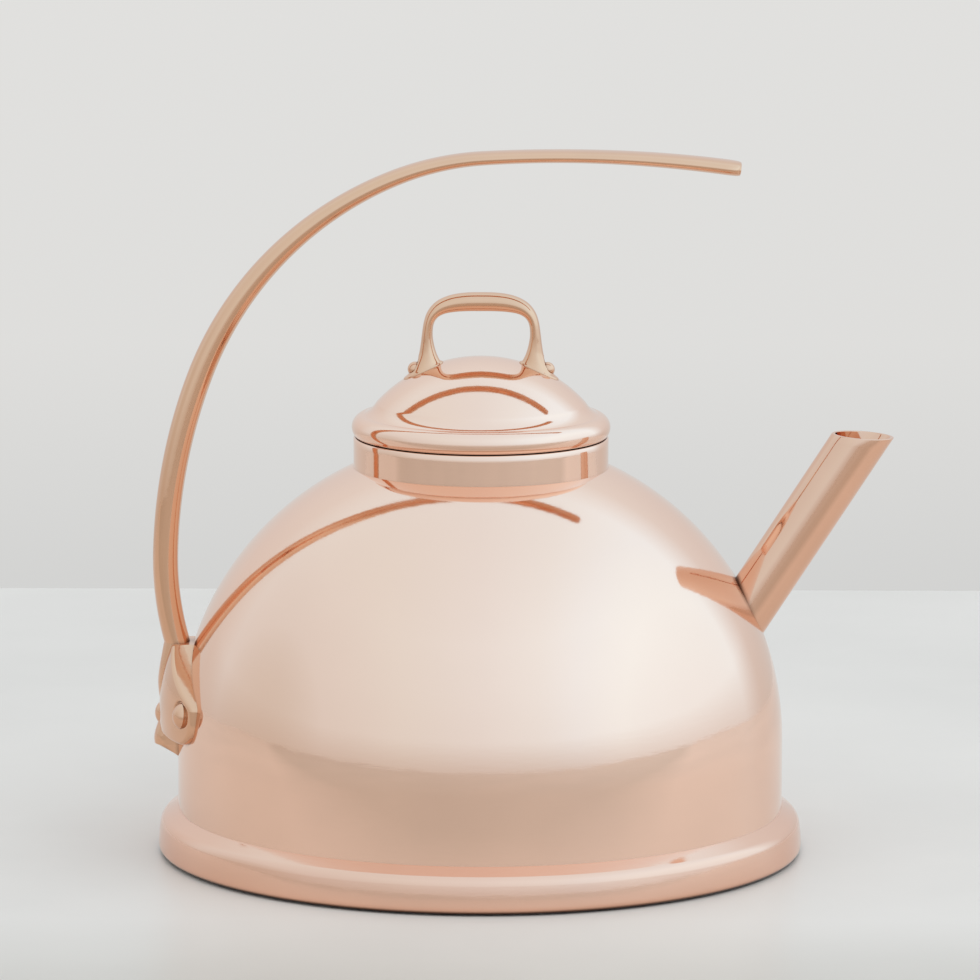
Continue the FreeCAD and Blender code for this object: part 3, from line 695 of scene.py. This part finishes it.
def flange_points():
    rows = 150
    columns = 260
    near = 0.1
    shares = spread(0.45, columns)
    heights = spread(0.6, rows)
    points = []
    for row, height in enumerate(heights):
        z = FLANGE_LOW_Z + (FLANGE_TOP_Z - FLANGE_LOW_Z) * (1 + height) / 2
        half = flange_half(z)
        slope = 0.0
        if 0 < row < rows:
            slope = (flange_half(z - near) - flange_half(z + near)) / (2 * near)
        lean = 1 / math.sqrt(1 + slope * slope)
        for share in shares:
            y = share * half
            drop = edge_drop((half - abs(y)) * lean)
            drop = max(drop, edge_drop(z - FLANGE_LOW_Z), edge_drop(FLANGE_TOP_Z - z))
            points.append(Vector((flange_x(y, z) + drop, y, z)))
    columns += 1
    rows += 1
    faces = grid_faces(rows, columns)
    rim = list(range(columns))
    rim += [row * columns + columns - 1 for row in range(1, rows)]
    rim += [(rows - 1) * columns + column for column in range(columns - 2, -1, -1)]
    rim += [row * columns for row in range(rows - 2, 0, -1)]
    first = len(points)
    for index in rim:
        point = points[index]
        points.append(Vector((body_x(point.y, point.z) + FLANGE_SUNK, point.y, point.z)))
    for step in range(len(rim)):
        after = (step + 1) % len(rim)
        faces.append((rim[step], rim[after], first + after, first + step))
    return points, faces


def rib_points():
    """The rib's rounded front, its two sides run back into the body, and its toe."""
    rows = [Vector((x, 0, z)) for x, z in smooth_run(RIB_OUTER, 24)]
    count = len(rows)
    toe = Vector((TOE_LOW[0], 0, TOE_LOW[1]))
    points = []
    around = 41
    for index, row in enumerate(rows):
        ahead = rows[min(count - 1, index + 1)] - rows[max(0, index - 1)]
        way = Vector((ahead.z, 0, -ahead.x)).normalized()
        if way.x > 0:
            way = -way
        for step in range(around):
            turn = math.pi / 2 * (2 * step / (around - 1) - 1)
            depth, side = rounded(turn, RIB_ROUND, RIB_HALF)
            points.append(row - way * (RIB_ROUND - depth) + Vector((0, side, 0)))
    faces = grid_faces(count, around)
    backs = []
    for edge in (0, around - 1):
        first = len(points)
        backs.append(first + count - 1)
        for row in range(count):
            point = points[row * around + edge]
            points.append(Vector((RIB_BACK_X, point.y, min(point.z, RIB_BACK_TOP))))
        for row in range(count - 1):
            faces.append((row * around + edge, (row + 1) * around + edge,
                          first + row + 1, first + row))
    last = (count - 1) * around
    first = len(points)
    for step in range(around):
        point = points[last + step]
        points.append(toe + Vector((TOE_SUNK, point.y, 0)))
    for step in range(around - 1):
        faces.append((last + step, last + step + 1, first + step + 1, first + step))
    faces.append((last, first, backs[0]))
    faces.append((last + around - 1, first + around - 1, backs[1]))
    return points, faces


def join(parts):
    """One list of points and faces from several."""
    points = []
    faces = []
    for more_points, more_faces in parts:
        first = len(points)
        points += more_points
        faces += [tuple(first + index for index in face) for face in more_faces]
    return points, faces


def make_bow():
    points, faces = join([bow_points(), flange_points(), rib_points()])
    skin("bow_skin", points, faces, "kettle", ["handle_bow"], cast, 50)


# --- rivets ---------------------------------------------------------------------------------

def head_profile(seat, radius, height):
    """A domed head with a softened rim, standing on its seat."""
    curve = (radius ** 2 + height ** 2) / (2 * height)
    middle_r = radius / 2
    middle = seat + height - (curve - math.sqrt(curve ** 2 - middle_r ** 2))
    profile = [(AXIS_R, seat + HEAD_RIM[0][1])]
    profile += [(radius * share, seat + rise) for share, rise in HEAD_RIM]
    profile += arc(profile[-1], (middle_r, middle), (AXIS_R, seat + height), 20)
    return profile


def make_rivet(name, body, node, centre, out, head, washer_top, tail):
    """A rivet's head and tail. Its shank is out of sight."""
    low = [(radius, washer_top - depth) for radius, depth in tail]
    points, faces = join([spin(head, HEAD_TURN_STEPS, centre, out),
                          spin(low, TAIL_TURN_STEPS, centre, out)])
    skin(name, points, faces, body, [node], riveted, 50)


def make_rivets():
    for name, out, seat in rivet_axes():
        make_rivet("rivet_" + name + "_skin", "kettle", "handle_rivet_" + name, DOME_CENTRE, out,
                   head_profile(seat, RIVET_HEAD_R, RIVET_HEAD_H),
                   BODY_R - SHEET - WASHER_THICK, RIVET_TAIL)
    for name, out in zip(("left", "right"), LID_RIVET_AXES):
        make_rivet("lid_rivet_" + name + "_skin", "lid", "lid_rivet_" + name, LID_CENTRE, out,
                   head_profile(LID_SEAT, LID_RIVET_HEAD_R, LID_RIVET_HEAD_H),
                   LID_DOME_R - LID_SHEET - LID_WASHER_THICK, LID_TAIL)


# --- lid handle -----------------------------------------------------------------------------

def smooth_run(knots, steps):
    """Rows of numbers on a smooth curve through rows of numbers."""
    rows = []
    for index in range(len(knots) - 1):
        before = knots[max(0, index - 1)]
        first = knots[index]
        second = knots[index + 1]
        after = knots[min(len(knots) - 1, index + 2)]
        for step in range(steps):
            rest = step / steps
            row = []
            for a, b, c, d in zip(before, first, second, after):
                row.append(0.5 * (2 * b + (c - a) * rest + (2 * a - 5 * b + 4 * c - d) * rest ** 2
                                  + (3 * b - a - 3 * c + d) * rest ** 3))
            rows.append(row)
    rows.append(list(knots[-1]))
    return rows


def make_loop():
    left = [(-x, z, -lean, thick, wide) for x, z, lean, thick, wide in reversed(LOOP_STATIONS[1:])]
    stations = smooth_run(left + LOOP_STATIONS, 8)
    around = 96
    points = []
    for x, z, lean, thick, wide in stations:
        turn_section = math.radians(lean)
        across = Vector((math.sin(turn_section), 0, math.cos(turn_section)))
        for step in range(around):
            turn = ROUND * step / around
            point = Vector((x, 0, z)) + across * (thick * math.cos(turn))
            point += Vector((0, wide * math.sin(turn), 0))
            away = point - LID_CENTRE
            for out in LID_RIVET_AXES:
                height = away.dot(out)
                aside = (away - out * height).length
                sunk = smooth_step((LID_RIVET_HEAD_R + LID_SEAT_RIM - aside) / LID_SEAT_BLEND)
                if height > LID_SEAT and sunk > 0:
                    away = away - out * ((height - LID_SEAT) * sunk)
            if away.length < LID_DOME_R + LOOP_ABOVE:
                away = away.normalized() * (LID_DOME_R + LOOP_ABOVE)
            points.append(LID_CENTRE + away)
    faces = grid_faces(len(stations), around, False, True)
    faces.append(tuple(range(around)))
    faces.append(tuple(range(len(points) - around, len(points))))
    skin("lid_handle_skin", points, faces, "lid", ["lid_handle"], cast, 60)


make_body()
make_foot()
make_base()
make_neck()
make_spout()
make_bow()
make_lid()
make_skirt()
make_loop()
make_rivets()
for node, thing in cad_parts.items():
    thing.data.materials.clear()
    thing.data.materials.append(riveted if "washer" in node else polished)


# --- studio, in metres ------------------------------------------------------------------------

def ramp(tree, value, low, high, stops):
    """A colour that depends on a value between two limits. Stops are (share, colour)."""
    share = tree.nodes.new("ShaderNodeMapRange")
    share.inputs["From Min"].default_value = low
    share.inputs["From Max"].default_value = high
    link(tree, value, share.inputs["Value"])
    made = tree.nodes.new("ShaderNodeValToRGB")
    elements = made.color_ramp.elements
    while len(elements) < len(stops):
        elements.new(0.5)
    for element, (place, colour) in zip(elements, stops):
        element.position = place
        element.color = (*colour, 1)
    link(tree, share.outputs["Result"], made.inputs["Fac"])
    return made.outputs["Color"]


def stage_mesh(name, points, faces, material):
    mesh = bpy.data.meshes.new(name)
    mesh.from_pydata([tuple(point) for point in points], [], faces)
    mesh.materials.append(material)
    made = bpy.data.objects.new(name, mesh)
    bpy.context.scene.collection.objects.link(made)
    return made


TABLE_CLOUDS = [(0.35, (0.80, 0.80, 0.79)), (0.6, (0.85, 0.85, 0.84))]
TABLE_ROUGH = 0.32
TABLE_SHINE = 0.12
TABLE_SHADE_SPAN = (-0.22, -0.11)          # painted shade: the tone gets darker towards the front, over this Y
TABLE_SHADE_TONE = (0.77, 0.76, 0.73)
TABLE_HALF = 3.0                     # half the table's width, and its front and back edges
TABLE_FRONT = -1.1
TABLE_BACK = 0.486
TABLE_THICK = 0.03
TABLE_BELOW = 0.00005                # its top is this far below the kettle


def table():
    made = bpy.data.materials.new("table")
    made.use_nodes = True
    tree = made.node_tree
    shader = tree.nodes["Principled BSDF"]
    shader.inputs["Roughness"].default_value = TABLE_ROUGH
    shader.inputs["Specular IOR Level"].default_value = TABLE_SHINE
    place = tree.nodes.new("ShaderNodeTexCoord")
    clouds = tree.nodes.new("ShaderNodeTexNoise")
    clouds.inputs["Scale"].default_value = 5.0
    clouds.inputs["Detail"].default_value = 6.0
    link(tree, place.outputs["Object"], clouds.inputs["Vector"])
    tone = ramp(tree, clouds.outputs["Fac"], 0.0, 1.0, TABLE_CLOUDS)
    apart = tree.nodes.new("ShaderNodeSeparateXYZ")
    link(tree, place.outputs["Object"], apart.inputs["Vector"])
    # painted shade: the table darkens towards the front
    shade = ramp(tree, apart.outputs["Y"], TABLE_SHADE_SPAN[0], TABLE_SHADE_SPAN[1],
                 [(0.0, TABLE_SHADE_TONE), (1.0, (1, 1, 1))])
    toned = tree.nodes.new("ShaderNodeMix")
    toned.data_type = "RGBA"
    toned.blend_type = "MULTIPLY"
    toned.inputs["Factor"].default_value = 1.0
    link(tree, tone, toned.inputs["A"])
    link(tree, shade, toned.inputs["B"])
    link(tree, toned.outputs["Result"], shader.inputs["Base Color"])
    corners = [(x, y, z) for z in (-TABLE_THICK, -TABLE_BELOW) for y in (TABLE_FRONT, TABLE_BACK)
               for x in (-TABLE_HALF, TABLE_HALF)]
    faces = [(0, 2, 3, 1), (4, 5, 7, 6), (0, 1, 5, 4), (2, 6, 7, 3), (0, 4, 6, 2), (1, 3, 7, 5)]
    stage_mesh("table", corners, faces, made)


# the tent's tones, by the direction from its middle as a unit vector: a span is a range of
# its X, Y or Z
CLOTH = [                            # from the left, -X, to the right
    (0.0, (0.36, 0.42, 0.45)),
    (0.06, (0.405, 0.50, 0.57)),
    (0.25, (0.43, 0.555, 0.64)),
    (0.5, (0.445, 0.59, 0.71)),
    (0.68, (0.465, 0.64, 0.78)),
    (0.80, (0.48, 0.685, 0.86)),
    (0.91, (0.51, 0.735, 0.91)),
    (1.0, (0.50, 0.71, 0.88)),
]
FLOOR_SPAN = (-0.25, 1.0)            # up Z: the share of cloth, with the floor's tone for the rest
FLOOR_FADE = [(0.0, 0), (0.05, 0.05), (0.21, 0.55), (0.30, 0.85), (0.55, 0.95), (0.75, 1),
              (1.0, 0.93)]
FLOOR_TONE = [(0.0, (0.30, 0.30, 0.29)), (0.75, (0.305, 0.305, 0.30)), (1.0, (0.36, 0.38, 0.40))]
WALL_SPAN = (0.5, 1.0)               # towards the back, +Y, a wall takes over
WALL_FADE = [(0.0, 0), (0.45, 0.75), (1.0, 1)]
WALL_RISE = (-0.2, 0.8)              # up Z: the wall's own tones
WALL_TONE = [(0.0, (0.33, 0.335, 0.33)), (0.4, (0.37, 0.38, 0.385)), (1.0, (0.42, 0.50, 0.55))]
TENT_GLOW = 2.0
TENT_R = 2.2
TENT_MIDDLE_Z = 0.1
TENT_ROWS = 32
TENT_COLUMNS = 64


def grey(stops):
    return [(place, (share, share, share)) for place, share in stops]


def tent():
    """A round studio tent that only polished surfaces see: soft light, brightest on the right."""
    made = bpy.data.materials.new("tent")
    made.use_nodes = True
    tree = made.node_tree
    tree.nodes.remove(tree.nodes["Principled BSDF"])
    glow = tree.nodes.new("ShaderNodeEmission")
    glow.inputs["Strength"].default_value = TENT_GLOW
    link(tree, glow.outputs["Emission"], tree.nodes["Material Output"].inputs["Surface"])
    place = tree.nodes.new("ShaderNodeTexCoord")
    unit = tree.nodes.new("ShaderNodeVectorMath")
    unit.operation = "NORMALIZE"
    link(tree, place.outputs["Object"], unit.inputs[0])
    parts = tree.nodes.new("ShaderNodeSeparateXYZ")
    link(tree, unit.outputs["Vector"], parts.inputs["Vector"])
    cloth = ramp(tree, parts.outputs["X"], -1, 1, CLOTH)
    over_floor = ramp(tree, parts.outputs["Z"], *FLOOR_SPAN, grey(FLOOR_FADE))
    floor_tone = ramp(tree, parts.outputs["X"], -1, 1, FLOOR_TONE)
    lower = mixed(tree, over_floor, floor_tone, cloth)
    behind = ramp(tree, parts.outputs["Y"], *WALL_SPAN, grey(WALL_FADE))
    wall = ramp(tree, parts.outputs["Z"], *WALL_RISE, WALL_TONE)
    link(tree, mixed(tree, behind, lower, wall), glow.inputs["Color"])
    made.cycles.emission_sampling = "NONE"
    points = []
    for row in range(TENT_ROWS + 1):
        tilt = math.pi * row / TENT_ROWS
        for column in range(TENT_COLUMNS):
            turn = ROUND * column / TENT_COLUMNS
            points.append((TENT_R * math.sin(tilt) * math.cos(turn),
                           TENT_R * math.sin(tilt) * math.sin(turn), TENT_R * math.cos(tilt)))
    faces = grid_faces(TENT_ROWS + 1, TENT_COLUMNS, False, True)
    shell = stage_mesh("tent", points, faces, made)
    shell.location = (0, 0, TENT_MIDDLE_Z)
    shell.visible_camera = False
    shell.visible_diffuse = False
    shell.visible_shadow = False
    shell.visible_transmission = False
    shell.visible_volume_scatter = False


BACKDROP_RISE = (-0.20, 0.0)         # up Z of the view's direction, to the horizon at 0
# painted shade: the wall gets darker towards its bottom, near the table
BACKDROP_SHADED_TONE = [
    (0.0, (0.60, 0.60, 0.59)),
    (0.14, (0.66, 0.66, 0.65)),
    (0.28, (0.735, 0.73, 0.715)),
    (0.75, (0.77, 0.765, 0.75)),
    (1.0, (0.80, 0.80, 0.79)),
]


def backdrop():
    """The pale wall far behind the table, as the world's own colour, with painted shade towards
    its bottom.
    """
    world = bpy.data.worlds.new("studio")
    bpy.context.scene.world = world
    world.use_nodes = True
    tree = world.node_tree
    place = tree.nodes.new("ShaderNodeTexCoord")
    parts = tree.nodes.new("ShaderNodeSeparateXYZ")
    link(tree, place.outputs["Generated"], parts.inputs["Vector"])
    colour = ramp(tree, parts.outputs["Z"], *BACKDROP_RISE, BACKDROP_SHADED_TONE)
    link(tree, colour, tree.nodes["Background"].inputs["Color"])
    tree.nodes["Background"].inputs["Strength"].default_value = 1.0


KEY_SIZE = (1.2, 1.0)
KEY_WATTS = 6.0
KEY_PLACE = Vector((1.2, -0.9, 1.4))
KEY_AIM = Vector((0, 0, 0.08))


def soft_light():
    """One large lamp for the table, which polished surfaces don't see."""
    data = bpy.data.lights.new("key", "AREA")
    data.shape = "RECTANGLE"
    data.size, data.size_y = KEY_SIZE
    data.energy = KEY_WATTS
    made = bpy.data.objects.new("key", data)
    bpy.context.scene.collection.objects.link(made)
    made.location = KEY_PLACE
    made.rotation_mode = "QUATERNION"
    made.rotation_quaternion = (KEY_PLACE - KEY_AIM).to_track_quat("Z", "Y")
    made.visible_glossy = False


table()
tent()
backdrop()
soft_light()

# --- camera -----------------------------------------------------------------------------------

CAMERA_AWAY = 2.5
CAMERA_RISE = 0.164       # radians above the horizon
CAMERA_ROLL = 0.003
CAMERA_AIM = Vector((0.003, 0, 0.1202))
CAMERA_LENS = 278.7
CAMERA_SENSOR = 36.0

data = bpy.data.cameras.new("camera")
data.sensor_width = CAMERA_SENSOR
data.lens = CAMERA_LENS
data.dof.use_dof = False
camera = bpy.data.objects.new("camera", data)
bpy.context.scene.collection.objects.link(camera)
back = Vector((0, -math.cos(CAMERA_RISE), math.sin(CAMERA_RISE)))
camera.location = CAMERA_AIM + back * CAMERA_AWAY
camera.rotation_mode = "QUATERNION"
roll = Matrix.Rotation(CAMERA_ROLL, 3, "Z").to_quaternion()
camera.rotation_quaternion = back.to_track_quat("Z", "Y") @ roll
bpy.context.scene.camera = camera
bpy.context.scene.view_settings.view_transform = "Standard"
